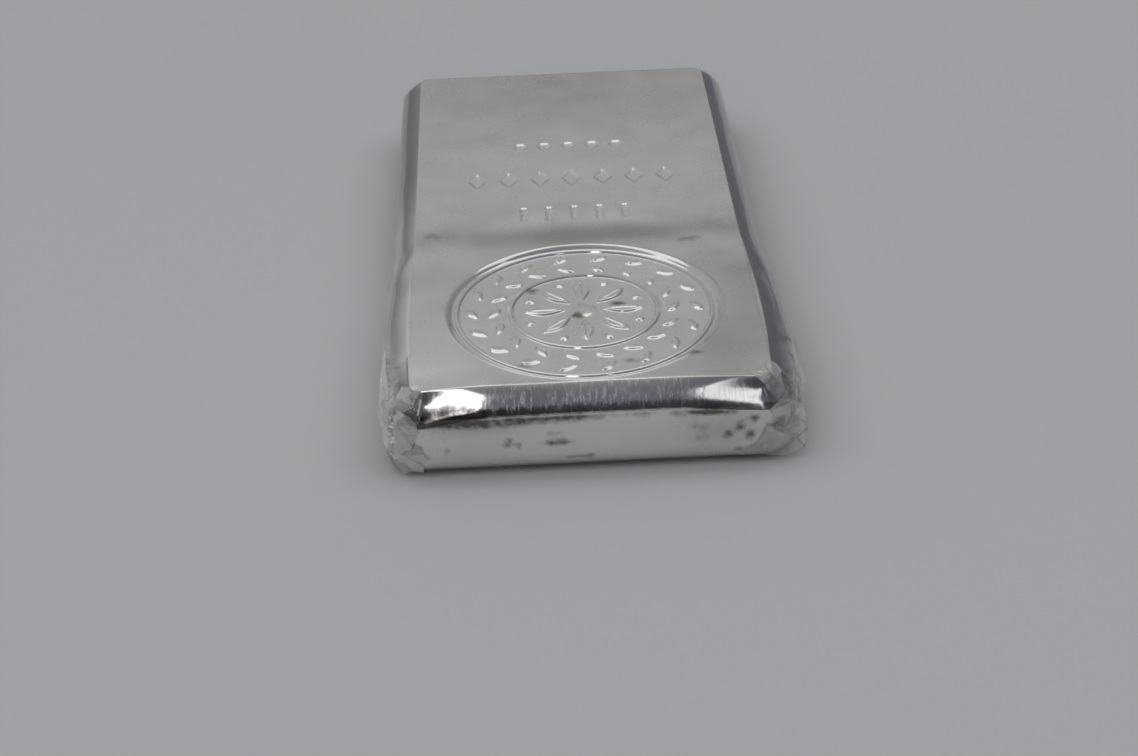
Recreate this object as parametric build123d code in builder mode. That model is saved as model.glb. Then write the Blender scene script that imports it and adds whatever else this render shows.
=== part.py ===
# A small cast silver bar, struck with a round seal, in its clear film wrap.
# Millimetres. +Z is up, +X across the bar, and the seal end points to -Y.
# The origin is at the centre of the underside, on the surface that the bar lies on.
import os

from build123d import *

# The bar, measured over the bare metal. Striking the seal made the sides swell beside it.
bar_length = 82.0
bar_width = 41.2
seal_swell = 0.7
seal_end_inset = 0.2
shoulder_radius = 15.0
bar_thickness = 8.9
end_corner_radius = 3.6
top_edge_radius = 2.4
bottom_edge_radius = 1.4

# The seal: a sunk field with a raised rim, a leaf band, a ring and a rosette
seal_setback = 17.5
seal_radius = 14.6
seal_lip = 0.25
seal_depth = 0.42
relief_height = 0.3
rim_radius = 13.8
rim_width = 0.45
ring_radius = 8.1
ring_width = 0.5

# The leaf band between the rim and the ring
leaf_pairs = 18
leaf_length = 2.4
leaf_width = 0.95
leaf_belly_share = 0.35
leaf_tilt = 35.0
leaf_spread = 1.15

# The rosette in the middle of the seal
petal_count = 8
petal_length = 4.2
petal_width = 1.7
petal_foot = 2.1
boss_radius = 1.3
bead_radius = 0.45
bead_circle_radius = 6.2

# The rows of plain punch marks on the rest of the face
punch_depth = 0.2
punch_draft = 12.0
first_row_place = -1.2
row_pitch = 9.0
tick_width = 0.9
tick_length = 3.2
tick_pitch = 2.9
tick_count = 5
lozenge_length = 4.2
lozenge_width = 2.3
lozenge_pitch = 3.7
lozenge_count = 7
stud_radius = 0.95
stud_sides = 6
stud_pitch = 2.9
stud_count = 5

# The clear film, and the folded pockets at its two seal-end corners
film_wall = 0.1
film_gap = 0.06
pocket_reach = 1.6
pocket_length = 15.0
pocket_tip_setback = 3.4
pocket_notch = 0.8
pocket_floor_space = 0.5
pocket_top_space = 1.9
pocket_root = 1.2
pocket_draft = 18.0

# Places worked out from the sizes above
metal_floor = film_wall + film_gap
metal_top = metal_floor + bar_thickness
seal_end_y = -bar_length / 2
seal_centre_y = seal_end_y + seal_setback
widest_half = bar_width / 2 + seal_swell
seal_end_half = bar_width / 2 - seal_end_inset
swell_rise = widest_half - seal_end_half
swell_radius = (seal_setback**2 + swell_rise**2) / (2 * swell_rise)
shoulder_y = seal_centre_y + (seal_swell * (2 * swell_radius - seal_swell)) ** 0.5
field_height = metal_top - seal_depth
notch_height = metal_floor + bar_thickness / 2


def pillow_plan(grow):
    """The outline of the bar seen from above, moved outwards by grow."""
    end_y = bar_length / 2 + grow
    side_x = bar_width / 2 + grow
    with BuildSketch() as plan:
        with BuildLine():
            swell = ThreePointArc(
                (seal_end_half + grow, -end_y),
                (widest_half + grow, seal_centre_y),
                (side_x, shoulder_y),
            )
            Polyline(swell @ 1, (side_x, end_y), (0, end_y))
            Line(swell @ 0, (0, -end_y))
            mirror(about=Plane.YZ)
        make_face()
        fillet(plan.vertices().group_by(Axis.Y)[1], radius=shoulder_radius)
    return plan.sketch


def pillow(grow, taut=False):
    """The rounded form of the bar, grown on every side. Taut film cuts the corner below."""
    with BuildPart() as form:
        with BuildSketch(Plane.XY.offset(metal_floor - grow)):
            add(pillow_plan(grow))
        extrude(amount=bar_thickness + 2 * grow)
        fillet(form.edges().filter_by(Axis.Z), radius=end_corner_radius + grow)
        fillet(form.faces().sort_by(Axis.Z)[-1].edges(), radius=top_edge_radius + grow)
        lower_edges = form.faces().sort_by(Axis.Z)[0].edges()
        if taut:
            chamfer(lower_edges, length=(bottom_edge_radius + grow) * (2 - 2**0.5))
        else:
            fillet(lower_edges, radius=bottom_edge_radius + grow)
    return form.part


def lens(length, width):
    """A petal that lies along X, between two arcs."""
    with BuildSketch() as petal_face:
        with BuildLine():
            ThreePointArc((-length / 2, 0), (0, width / 2), (length / 2, 0))
            ThreePointArc((length / 2, 0), (0, -width / 2), (-length / 2, 0))
        make_face()
    return petal_face.sketch


def kite(length, width, belly_share):
    """A straight-sided leaf that lies along X, widest at a share of its length."""
    belly_x = length * (belly_share - 1 / 2)
    with BuildSketch() as leaf_face:
        Polygon(
            (-length / 2, 0), (belly_x, -width / 2), (length / 2, 0), (belly_x, width / 2), align=None
        )
    return leaf_face.sketch


def side_place(setback, reach):
    """A point at this distance from the seal end, and this far out from the bar's side."""
    side_x = seal_end_half + swell_rise * setback / seal_setback
    return (side_x + reach, seal_end_y + setback)


def pocket(shrink):
    """Two hollow folds of film, one over the other, beside the corner at +X and -Y."""
    back = side_place(pocket_length, -pocket_root)
    tip = side_place(pocket_tip_setback, pocket_reach)
    front = side_place(0, -end_corner_radius)
    lower_height = notch_height - pocket_notch / 2 - pocket_floor_space
    upper_height = metal_top - pocket_top_space - notch_height - pocket_notch / 2
    with BuildPart() as folds:
        for side, height in ((-1, lower_height), (1, upper_height)):
            start = notch_height + side * (pocket_notch / 2 + shrink)
            with BuildSketch(Plane.XY.offset(start)):
                Polygon(back, tip, front, align=None)
                if shrink > 0:
                    offset(amount=-shrink, kind=Kind.INTERSECTION, mode=Mode.REPLACE)
            extrude(amount=side * (height - 2 * shrink), taper=pocket_draft)
    return folds.part


blank = pillow(0)
leaf = kite(leaf_length, leaf_width, leaf_belly_share)
petal = lens(petal_length, petal_width)
lozenge = kite(lozenge_length, lozenge_width, 1 / 2)

with BuildPart() as silver_bar:
    add(blank)

    # The sunk field of the seal, with its lip broken
    with BuildSketch(Plane.XY.offset(field_height)):
        with Locations((0, seal_centre_y)):
            Circle(seal_radius)
    extrude(amount=seal_depth, mode=Mode.SUBTRACT)
    lip = silver_bar.edges().filter_by(GeomType.CIRCLE).group_by(Axis.Z)[-1]
    chamfer(lip, length=seal_lip)

    # Rim, ring, leaves and rosette, raised from the field
    band_middle = (ring_radius + rim_radius - rim_width) / 2
    with BuildSketch(Plane.XY.offset(field_height)):
        with Locations((0, seal_centre_y)):
            Circle(rim_radius)
            Circle(rim_radius - rim_width, mode=Mode.SUBTRACT)
            Circle(ring_radius)
            Circle(ring_radius - ring_width, mode=Mode.SUBTRACT)
            Circle(boss_radius)
            with PolarLocations(petal_foot + petal_length / 2, petal_count):
                add(petal)
            with PolarLocations(bead_circle_radius, petal_count, start_angle=180 / petal_count):
                Circle(bead_radius)
            for side in (-1, 1):
                with PolarLocations(band_middle + side * leaf_spread, leaf_pairs):
                    add(leaf, rotation=90 + side * leaf_tilt)
    extrude(amount=relief_height)

    # Three rows of plain punch marks: ticks, lozenges and six-sided studs
    with BuildSketch(Plane.XY.offset(metal_top)):
        with Locations((0, first_row_place)):
            with GridLocations(tick_pitch, 0, tick_count, 1):
                Rectangle(tick_width, tick_length)
        with Locations((0, first_row_place + row_pitch)):
            with GridLocations(lozenge_pitch, 0, lozenge_count, 1):
                add(lozenge, rotation=90)
        with Locations((0, first_row_place + 2 * row_pitch)):
            with GridLocations(stud_pitch, 0, stud_count, 1):
                RegularPolygon(stud_radius, stud_sides)
    extrude(amount=-punch_depth, taper=punch_draft, mode=Mode.SUBTRACT)

with BuildPart() as film_wrap:
    add(pillow(film_gap + film_wall, taut=True))
    outer_pocket = pocket(0)
    add(outer_pocket)
    mirror(outer_pocket, about=Plane.YZ)
    cavity_pocket = pocket(film_wall)
    add(pillow(film_gap, taut=True), mode=Mode.SUBTRACT)
    add(cavity_pocket, mode=Mode.SUBTRACT)
    mirror(cavity_pocket, about=Plane.YZ, mode=Mode.SUBTRACT)

os.makedirs("parts", exist_ok=True)
silver_bar.part.label = "silver_bar"
film_wrap.part.label = "film_wrap"
export_step(silver_bar.part, "parts/silver_bar.step")
export_step(film_wrap.part, "parts/film_wrap.step")
print("silver_bar", round(silver_bar.part.volume), "mm3")
print("film_wrap", round(film_wrap.part.volume), "mm3")
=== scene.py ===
# %% [markdown]
# # A small cast silver bar in its clear film wrap
# The bar is a palm-sized block of soft, slightly dull silver. A die has struck a round seal into one
# end and three rows of plain marks into the rest. It is wrapped in thin clear film, which is folded
# into small pockets at the two near corners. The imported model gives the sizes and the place.

# %% The frame and the tools
import math

import bmesh
import bpy
import numpy as np
from mathutils import Matrix, Vector, noise


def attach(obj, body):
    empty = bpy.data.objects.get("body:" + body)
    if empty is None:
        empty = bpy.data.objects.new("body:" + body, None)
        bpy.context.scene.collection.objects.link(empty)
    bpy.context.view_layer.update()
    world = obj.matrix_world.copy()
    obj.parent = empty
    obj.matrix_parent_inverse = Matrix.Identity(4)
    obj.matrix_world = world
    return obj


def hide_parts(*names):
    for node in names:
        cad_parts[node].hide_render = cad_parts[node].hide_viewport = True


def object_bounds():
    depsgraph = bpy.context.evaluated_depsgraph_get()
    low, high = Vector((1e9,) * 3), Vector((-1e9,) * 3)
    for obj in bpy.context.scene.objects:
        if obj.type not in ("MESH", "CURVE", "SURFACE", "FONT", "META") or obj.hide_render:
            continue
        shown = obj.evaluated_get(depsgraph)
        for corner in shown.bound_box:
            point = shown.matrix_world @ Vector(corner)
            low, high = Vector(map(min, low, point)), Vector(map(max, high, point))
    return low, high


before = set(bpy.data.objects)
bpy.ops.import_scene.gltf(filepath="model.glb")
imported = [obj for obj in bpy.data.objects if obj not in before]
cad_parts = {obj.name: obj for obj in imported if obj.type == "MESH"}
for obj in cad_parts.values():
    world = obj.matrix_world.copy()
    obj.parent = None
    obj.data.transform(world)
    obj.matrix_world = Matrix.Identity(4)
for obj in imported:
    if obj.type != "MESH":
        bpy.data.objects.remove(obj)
cad_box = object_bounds()
MM = 0.001
cad_box_mm = [[round(c / MM, 2) for c in corner] for corner in cad_box]
print("nodes", sorted(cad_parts), "box in mm", cad_box_mm)

# %% [markdown]
# ## The sizes
# They are the sizes of the solids, in millimetres, so that the finished pieces lie where the solids
# are. The pieces are modelled on the bench at one unit a millimetre and scaled to metres at the end,
# because Blender's modelling tools merge and fill more safely at that size. The metal starts a
# little above the table, because the film lies under it.

# %% Sizes of the bar
metal_floor = 0.16
bar_thickness = 8.9
metal_top = metal_floor + bar_thickness
half_width = 20.6
half_length = 41.0
top_inset = 2.4
crease_drop = 2.35
foot_radius = 1.4
end_corner_radius = 3.6
flat_half_width = half_width - top_inset
flat_half_length = half_length - top_inset
flat_corner_radius = end_corner_radius - top_inset
corner_x = flat_half_width - flat_corner_radius
corner_y = flat_half_length - flat_corner_radius

seal_setback = 17.5
seal_y = -half_length + seal_setback
seal_swell = 0.7
seal_end_inset = 0.2
seal_radius = 14.6
seal_lip = 0.25
seal_depth = 0.42
rim_radius = 13.8
rim_width = 0.45
ring_radius = 8.1
ring_width = 0.5
flat_tolerance = 0.001
print("seal centre", (0, seal_y), "flat face", (2 * flat_half_width, 2 * flat_half_length))

# %% Bench helpers


def pick_only(piece):
    """Makes this piece the only one that is selected, and the active one."""
    bpy.ops.object.select_all(action="DESELECT")
    piece.select_set(True)
    bpy.context.view_layer.objects.active = piece


def read_points(piece):
    flat = np.empty(len(piece.data.vertices) * 3, np.float32)
    piece.data.vertices.foreach_get("co", flat)
    return flat.reshape(-1, 3).astype(float)


def write_points(piece, points):
    piece.data.vertices.foreach_set("co", points.astype(np.float32).ravel())
    piece.data.update()


def open_with(piece, kind, chosen):
    """Opens a piece in edit mode, with only those of its verts, edges or faces picked that are chosen."""
    pick_only(piece)
    bpy.ops.object.mode_set(mode="EDIT")
    bpy.ops.mesh.select_mode(type={"verts": "VERT", "edges": "EDGE", "faces": "FACE"}[kind])
    bpy.ops.mesh.select_all(action="DESELECT")
    shape = bmesh.from_edit_mesh(piece.data)
    for part in getattr(shape, kind):
        part.select = bool(chosen(part))
    shape.select_flush(True)


def soft_step(low, high, value):
    """0 below low, 1 above high, and an even S between them."""
    share = np.clip((value - low) / (high - low), 0, 1)
    return share * share * (3 - 2 * share)


def soft_spot(x, y, centre, size):
    """1 at the centre, fading to 0 over size, which may differ along x and y."""
    far = ((x - centre[0]) / size[0]) ** 2 + ((y - centre[1]) / size[1]) ** 2
    return np.exp(-far)


def even_lines(*stops):
    """Places from the first stop to the last, with so many even steps between each two stops."""
    lines = [stops[0]]
    for steps, stop in zip(stops[1::2], stops[2::2]):
        lines.extend(np.linspace(lines[-1], stop, steps + 1)[1:])
    return np.array(lines)


def cloud(points, size, seed, octaves=2):
    """Smooth noise between about -1 and 1 at each point, with lumps of this size."""
    shift = Vector((seed * 17.3, seed * 5.1, seed * 9.7))
    values = [noise.fractal(Vector(p) / size + shift, 1.0, 2.0, octaves) for p in points]
    return np.array(values)


# %% [markdown]
# ## Camera
# The photograph looks down the bar at about 31 degrees from 24 cm away, with a long lens held very
# slightly crooked. The camera could be placed by hand, but angles and a distance with names stay
# readable, and a little vector sum turns them into its place and its rotation.

# %% Camera
camera_pitch = math.radians(31.148)
camera_yaw = math.radians(1.419)
camera_roll = math.radians(-1.961)
camera_distance = 238.216
camera_target = Vector((-1.842, -23.216, 0.16))
frame_width_px = 1138
focal_length_px = 2200

forward = Vector((
    math.sin(camera_yaw) * math.cos(camera_pitch),
    math.cos(camera_yaw) * math.cos(camera_pitch),
    -math.sin(camera_pitch),
))
level_right = Vector((math.cos(camera_yaw), -math.sin(camera_yaw), 0))
level_up = level_right.cross(forward)
right = level_right * math.cos(camera_roll) + level_up * math.sin(camera_roll)
up = right.cross(forward)
lens = bpy.data.cameras.new("photo_view")
lens.sensor_width = 36
lens.lens = lens.sensor_width * focal_length_px / frame_width_px
lens.clip_start = 0.01
camera = bpy.data.objects.new("photo_view", lens)
bpy.context.scene.collection.objects.link(camera)
camera.location = (camera_target - forward * camera_distance) * MM
camera.rotation_euler = Matrix((right, up, -forward)).transposed().to_euler()
bpy.context.scene.camera = camera
print("camera at", [round(c, 4) for c in camera.location], "lens", round(lens.lens, 1))

# %% [markdown]
# ## The top face
# The face starts as a flat grid with its lines closer together where the seal and the edges need
# them. Its square corners are rounded by the usual square-to-circle formula, which keeps every cell.

# %% The flat face of the bar
face_x_lines = even_lines(-flat_half_width, 8, -corner_x, 100, corner_x, 8, flat_half_width)
face_y_lines = even_lines(-flat_half_length, 8, -corner_y, 168, 20.0, 30, corner_y, 8, flat_half_length)


def lined_sheet(name, x_lines, y_lines, height):
    """A flat sheet, one cell between each two lines."""
    bpy.ops.object.select_all(action="DESELECT")
    bpy.ops.mesh.primitive_grid_add(x_subdivisions=len(x_lines) - 1, y_subdivisions=len(y_lines) - 1, size=2)
    sheet = bpy.context.object
    sheet.name = name
    points = read_points(sheet)
    column = np.rint((points[:, 0] + 1) / 2 * (len(x_lines) - 1)).astype(int)
    row = np.rint((points[:, 1] + 1) / 2 * (len(y_lines) - 1)).astype(int)
    write_points(sheet, np.column_stack([x_lines[column], y_lines[row], np.full(len(points), height)]))
    return sheet


def round_corners(sheet, centre_x, centre_y, radius):
    """Turns the square corners of a sheet into quarter circles."""
    points = read_points(sheet)
    across = np.clip((np.abs(points[:, 0]) - centre_x) / radius, 0, 1)
    along = np.clip((np.abs(points[:, 1]) - centre_y) / radius, 0, 1)
    corner = (across > 0) & (along > 0)
    new_x = centre_x + radius * across * np.sqrt(1 - along**2 / 2)
    new_y = centre_y + radius * along * np.sqrt(1 - across**2 / 2)
    points[corner, 0] = (np.sign(points[:, 0]) * new_x)[corner]
    points[corner, 1] = (np.sign(points[:, 1]) * new_y)[corner]
    write_points(sheet, points)


bar = lined_sheet("silver_bar_struck", face_x_lines, face_y_lines, metal_top)
round_corners(bar, corner_x, corner_y, flat_corner_radius)
print("face", len(bar.data.polygons), "cells")

# %% [markdown]
# ## The edges and walls
# The rim of the face is extruded ring by ring: round the pressed upper edge, over the crease where
# the metal met the mould, down the wall and round the foot. Each ring steps straight outwards, so
# the four corners stay round and the flanks stay straight.

# %% The profile of the edge
# How far along the edge, in millimetres, and how far it leans there, in degrees from level
edge_turns = ((0.0, 0), (0.06, 34), (2.3, 51), (3.1, 80))
edge_parts = 120
ring_crowding = 1.4


def worn_edge(rings):
    """The pressed edge, a soft chamfer: how far out, how far down and the lean of so many rings."""
    lengths = np.linspace(0, edge_turns[-1][0], edge_parts)
    lean = np.radians(np.interp(lengths, *zip(*edge_turns)))
    out = np.cumsum(np.cos(lean)) - 1
    down = np.cumsum(np.sin(lean))
    picked = (edge_parts - 1) * np.linspace(0, 1, rings + 1)[1:] ** ring_crowding
    wide = out / out[-1] * top_inset
    deep = down / down[-1] * crease_drop
    return [(wide[i], deep[i], lean[i]) for i in picked.astype(int)]


print("edge", [np.round(ring[:2], 2).tolist() for ring in worn_edge(3)])

# %% The profile of the walls
crease_height = metal_top - crease_drop
crease_lip = 0.07
lip_from = 0.05
lip_to = 0.12
wall_from = 0.35
edge_rings = 13
wall_rings = 9
foot_rings = 5


def edge_profile():
    """How far out of the flat face, and how high, each ring of the edge lies."""
    rings = [(out, metal_top - down) for out, down, lean in worn_edge(edge_rings)]
    rings.append((top_inset, crease_height - lip_from))
    rings.append((top_inset - crease_lip, crease_height - lip_to))
    for height in np.linspace(crease_height - wall_from, metal_floor + foot_radius, wall_rings):
        rings.append((top_inset - crease_lip, height))
    for step in range(1, foot_rings + 1):
        angle = math.radians(90) * step / foot_rings
        inset = foot_radius * (1 - math.cos(angle))
        height = metal_floor + foot_radius * (1 - math.sin(angle))
        rings.append((top_inset - crease_lip - inset, height))
    return rings


print("profile", len(edge_profile()), "rings")

# %% Extruding the rings


def outward(x, y, centre_x, centre_y):
    """The way straight out of the outline at this point of it."""
    past = Vector((max(abs(x) - centre_x, 0), max(abs(y) - centre_y, 0)))
    past.normalize()
    return math.copysign(past.x, x), math.copysign(past.y, y)


def extrude_rings(sheet, rings, centre_x, centre_y):
    """Extrudes the border of a sheet along the profile, and closes the last ring with one face."""
    pick_only(sheet)
    bpy.ops.object.mode_set(mode="EDIT")
    bpy.ops.mesh.select_mode(type="VERT")
    bpy.ops.mesh.select_all(action="SELECT")
    bpy.ops.mesh.region_to_loop()
    bpy.ops.mesh.select_mode(type="EDGE")
    last_out = 0
    for out, height in rings:
        bpy.ops.mesh.extrude_region_move()
        shape = bmesh.from_edit_mesh(sheet.data)
        for vertex in shape.verts:
            if vertex.select:
                way = outward(vertex.co.x, vertex.co.y, centre_x, centre_y)
                vertex.co.x += way[0] * (out - last_out)
                vertex.co.y += way[1] * (out - last_out)
                vertex.co.z = height
        last_out = out
    bpy.ops.mesh.edge_face_add()
    bmesh.update_edit_mesh(sheet.data)
    bpy.ops.object.mode_set(mode="OBJECT")


extrude_rings(bar, edge_profile(), corner_x, corner_y)
print("bar with its walls", len(bar.data.polygons), "faces")

# %% [markdown]
# ## The seal
# The die was turned on a lathe before its leaves were cut, and the seal is made the same way: one
# line with the die's profile is spun round the seal's centre. That keeps the rim and the ring
# perfectly round and crisp, which a square grid can't do. The seal then takes the place of a round
# hole in the face, and the strip between them is filled with triangles while all is still flat.

# %% The turned profile of the seal
spin_steps = 432
seal_collar = 0.12
seal_outer = seal_radius + seal_lip + seal_collar
turned_relief = 0.19
inner_wall = (-0.08, 0.12)
outer_wall = (-0.18, 0.10)
field_wall = (0.12, 0.15)
lip_height = 0.045
lip_place = 0.2
lip_half_width = 0.1


def band_rise(radius, outer, width):
    """The profile of a worn raised ring, from 0 at its edges to 1 along its middle."""
    inner = outer - width
    rise = soft_step(inner + inner_wall[0], inner + inner_wall[1], radius)
    return rise * (1 - soft_step(outer + outer_wall[0], outer + outer_wall[1], radius))


def turned_height(radius):
    """The height of the lathe-turned part of the seal below the face, with the lip pushed up round it."""
    height = -seal_depth * (1 - soft_step(rim_radius + field_wall[0], seal_radius + field_wall[1], radius))
    height = height + lip_height * np.exp(-(((radius - seal_radius - lip_place) / lip_half_width) ** 2))
    height = height + turned_relief * band_rise(radius, rim_radius, rim_width)
    return height + turned_relief * band_rise(radius, ring_radius, ring_width)


seal_radii = even_lines(
    seal_outer, 7, seal_radius, 7, rim_radius + 0.15, 5, rim_radius - 0.15, 1,
    rim_radius - rim_width + 0.12, 3, rim_radius - rim_width - 0.1, 33, ring_radius + 0.12, 4,
    ring_radius - 0.16, 1, ring_radius - ring_width + 0.12, 3, ring_radius - ring_width - 0.1, 34, 0.3,
)
print(len(seal_radii), "rings in the seal")

# %% Spinning the seal


def from_seal_centre(vertex):
    return math.hypot(vertex.co.x, vertex.co.y - seal_y)


bpy.ops.object.select_all(action="DESELECT")
bpy.ops.mesh.primitive_plane_add(size=1)
seal = bpy.context.object
seal.name = "seal_blank"
bpy.ops.object.mode_set(mode="EDIT")
bpy.ops.mesh.select_mode(type="VERT")
bpy.ops.mesh.select_all(action="SELECT")
bpy.ops.mesh.merge(type="CENTER")
bpy.ops.transform.translate(value=(seal_radii[0], seal_y, metal_top))
for nearer, farther in zip(seal_radii[1:], seal_radii[:-1]):
    bpy.ops.mesh.extrude_region_move(TRANSFORM_OT_translate={"value": (nearer - farther, 0, 0)})
bpy.ops.mesh.select_all(action="SELECT")
bpy.ops.mesh.spin(steps=spin_steps, angle=math.tau, center=(0, seal_y, metal_top), axis=(0, 0, 1))
bpy.ops.object.mode_set(mode="OBJECT")
open_with(seal, "verts", lambda vertex: from_seal_centre(vertex) < seal_radii[-1] + 0.01)
bpy.ops.mesh.extrude_region_move()
bpy.ops.mesh.merge(type="CENTER")
bpy.ops.object.mode_set(mode="OBJECT")
print("seal", len(seal.data.polygons), "faces")

# %% Setting the seal into the face
hole_clearance = 0.07


def over_seal(face):
    """Whether a face lies flat on top and reaches into the hole that the seal needs."""
    on_top = all(vertex.co.z > metal_top - flat_tolerance for vertex in face.verts)
    return on_top and min(map(from_seal_centre, face.verts)) < seal_outer + hole_clearance


open_with(bar, "faces", over_seal)
bpy.ops.mesh.delete(type="FACE")
bpy.ops.object.mode_set(mode="OBJECT")
pick_only(bar)
seal.select_set(True)
bpy.ops.object.join()
open_with(bar, "edges", lambda edge: edge.is_boundary)
bpy.ops.mesh.fill(use_beauty=True)
bpy.ops.mesh.select_all(action="SELECT")
bpy.ops.mesh.normals_make_consistent(inside=False)
open_edges = sum(edge.is_boundary for edge in bmesh.from_edit_mesh(bar.data).edges)
bpy.ops.object.mode_set(mode="OBJECT")
print("bar with its seal", len(bar.data.polygons), "faces, open edges", open_edges)

# %% [markdown]
# ## Finer cells for the rows of marks
# The walls of a punch mark are a quarter of a millimetre wide, which is less than one cell of the
# face. A finer grid all over would cost four times the faces, so only the cells under the rows are
# subdivided.

# %% Finer cells under the punch marks
marks_half_width = 14.2
marks_from_y = -3.4
marks_to_y = 18.4


def under_marks(face):
    middle = face.calc_center_median()
    in_rows = marks_from_y < middle.y < marks_to_y and abs(middle.x) < marks_half_width
    return in_rows and middle.z > metal_top - flat_tolerance


open_with(bar, "faces", under_marks)
bpy.ops.mesh.subdivide(number_cuts=1)
bpy.ops.object.mode_set(mode="OBJECT")
print("finer cells", len(bar.data.polygons), "faces")

# %% [markdown]
# ## The struck relief
# The leaves, petals and beads are cut into the die after turning, so they are raised from the turned
# field by a formula: each point of the seal asks how far inside a leaf it lies, and rises by that.
# The leaves have flat tops, soft worn walls and a cut vein, so they read by their pale thin outlines.

# %% Leaves, petals and beads
leaf_pairs = 18
leaf_length = 2.4
leaf_width = 0.95
leaf_belly_share = 0.35
leaf_tilt = math.radians(35)
leaf_spread = 1.15
petal_count = 8
petal_length = 4.2
petal_width = 1.7
petal_foot = 2.1
boss_radius = 1.3
bead_radius = 0.45
bead_circle_radius = 6.2
band_middle = (ring_radius + rim_radius - rim_width) / 2
carved_relief = 0.2
leaf_wall = (-0.06, 0.26)
vein_depth_share = 0.3
vein_half_width = 0.16
vein_from_edge = 0.25
vein_fade = 0.2
petal_belly_share = 0.55


def leaf_rise(along, across, length, width, belly_share):
    """How high a pointed leaf stands, from 0 at its edge to 1 on its ridge."""
    share = np.clip(along / length + 0.5, 0, 1)
    belly = np.where(share < belly_share, share / belly_share, (1 - share) / (1 - belly_share))
    half = width / 2 * np.sin(belly * math.pi / 2)
    inside = soft_step(*leaf_wall, half - np.abs(across)) * (belly > 0)
    vein = vein_depth_share * np.clip(1 - np.abs(across) / vein_half_width, 0, 1)
    return inside * (1 - vein * np.clip((half - vein_from_edge) / vein_fade, 0, 1))


def carved_height(x, y):
    """The leaves, petals, beads and boss of the seal, above its turned profile."""
    radius = np.hypot(x, y)
    height = np.zeros_like(radius)
    for side in (-1, 1):
        for place in range(leaf_pairs):
            angle = math.tau * place / leaf_pairs
            distance = band_middle + side * leaf_spread
            dx = x - distance * math.cos(angle)
            dy = y - distance * math.sin(angle)
            lie = angle + math.radians(90) + side * leaf_tilt
            along = dx * math.cos(lie) + dy * math.sin(lie)
            across = dy * math.cos(lie) - dx * math.sin(lie)
            leaf = leaf_rise(along, across, leaf_length, leaf_width, leaf_belly_share)
            height = np.maximum(height, leaf)
    for place in range(petal_count):
        angle = math.tau * place / petal_count
        along = x * math.cos(angle) + y * math.sin(angle) - petal_foot - petal_length / 2
        across = y * math.cos(angle) - x * math.sin(angle)
        petal = leaf_rise(along, across, petal_length, petal_width, petal_belly_share)
        angle += math.pi / petal_count
        bead_x = bead_circle_radius * math.cos(angle)
        bead_y = bead_circle_radius * math.sin(angle)
        from_bead = np.hypot(x - bead_x, y - bead_y) / bead_radius
        bead = np.sqrt(np.clip(1 - from_bead**2, 0, 1))
        height = np.maximum(height, np.maximum(petal, bead))
    boss = np.sqrt(np.clip(1 - (radius / boss_radius) ** 2, 0, 1))
    return carved_relief * np.maximum(height, boss)


print("leaf band", leaf_pairs, "pairs, rosette", petal_count, "petals")


# %% [markdown]
# ## The punch marks
# Three rows of plain marks stand on the rest of the face: ticks, lozenges and six-sided studs. Each
# is sunk with leaning walls, which catch the light as a sharp little frame.

# %% Punch marks
punch_depth = 0.15
punch_wall = 0.24
burr_height = 0.03
burr_place = 0.14
burr_half_width = 0.12
first_row_y = -1.2
row_pitch = 9.0
tick_width = 0.9
tick_length = 3.2
tick_pitch = 2.9
tick_count = 5
lozenge_length = 4.2
lozenge_width = 2.3
lozenge_pitch = 3.7
lozenge_count = 7
lozenge_lean_share = 0.88
stud_radius = 0.95
stud_sides = 6
stud_pitch = 2.9
stud_count = 5


def row_places(pitch, count):
    return [pitch * (place - (count - 1) / 2) for place in range(count)]


def punched_height(x, y):
    """How deep the punch marks are, below the face."""
    inside = np.full_like(x, -np.inf)
    for place in row_places(tick_pitch, tick_count):
        aside = tick_width / 2 - np.abs(x - place)
        inside = np.maximum(inside, np.minimum(aside, tick_length / 2 - np.abs(y - first_row_y)))
    for place in row_places(lozenge_pitch, lozenge_count):
        share_x = np.abs(x - place) / (lozenge_width / 2)
        share_y = np.abs(y - first_row_y - row_pitch) / (lozenge_length / 2)
        inside = np.maximum(inside, (1 - share_x - share_y) * lozenge_width / 2 * lozenge_lean_share)
    half_side = math.radians(180) / stud_sides
    for place in row_places(stud_pitch, stud_count):
        stud = np.full_like(x, np.inf)
        for side in range(stud_sides):
            angle = half_side * (2 * side + 1)
            reach = (x - place) * math.cos(angle) + (y - first_row_y - 2 * row_pitch) * math.sin(angle)
            stud = np.minimum(stud, stud_radius * math.cos(half_side) - reach)
        inside = np.maximum(inside, stud)
    burr = burr_height * np.exp(-(((inside + burr_place) / burr_half_width) ** 2))
    return burr - punch_depth * soft_step(0, punch_wall, inside)


print("marks", tick_count, "ticks,", lozenge_count, "lozenges,", stud_count, "studs")

# %% [markdown]
# ## The press marks
# Silver is soft. Striking the seal pushed the metal aside: the flanks swell beside it, a shallow
# dish with an arc-shaped step lies beyond it, and the near edge droops towards its two corners.
# Handling left faint waves all over. All of this is moved point by point, because it is what a
# modeller would do with a sculpting brush, and a formula gives the same dents at every run.

# %% The swell and the droop
# Where two values stand together, they are for the left and the right corner
shoulder_softness = 0.02
droop_from = (11.0, 9.2)
droop_to = 18.5
droop_slope = (0.16, 0.125)
droop_softness = 1.2


def side_swell(y):
    """How far the flank stands out of the straight, as on the solid."""
    rise = seal_swell + seal_end_inset
    swell_radius = (seal_setback**2 + rise**2) / (2 * rise)
    arc = seal_swell - (y - seal_y) ** 2 / (2 * swell_radius)
    shoulder = 0.5 * (np.sqrt(arc**2 + shoulder_softness) + arc)
    return np.where(y < seal_y, arc, shoulder)


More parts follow.
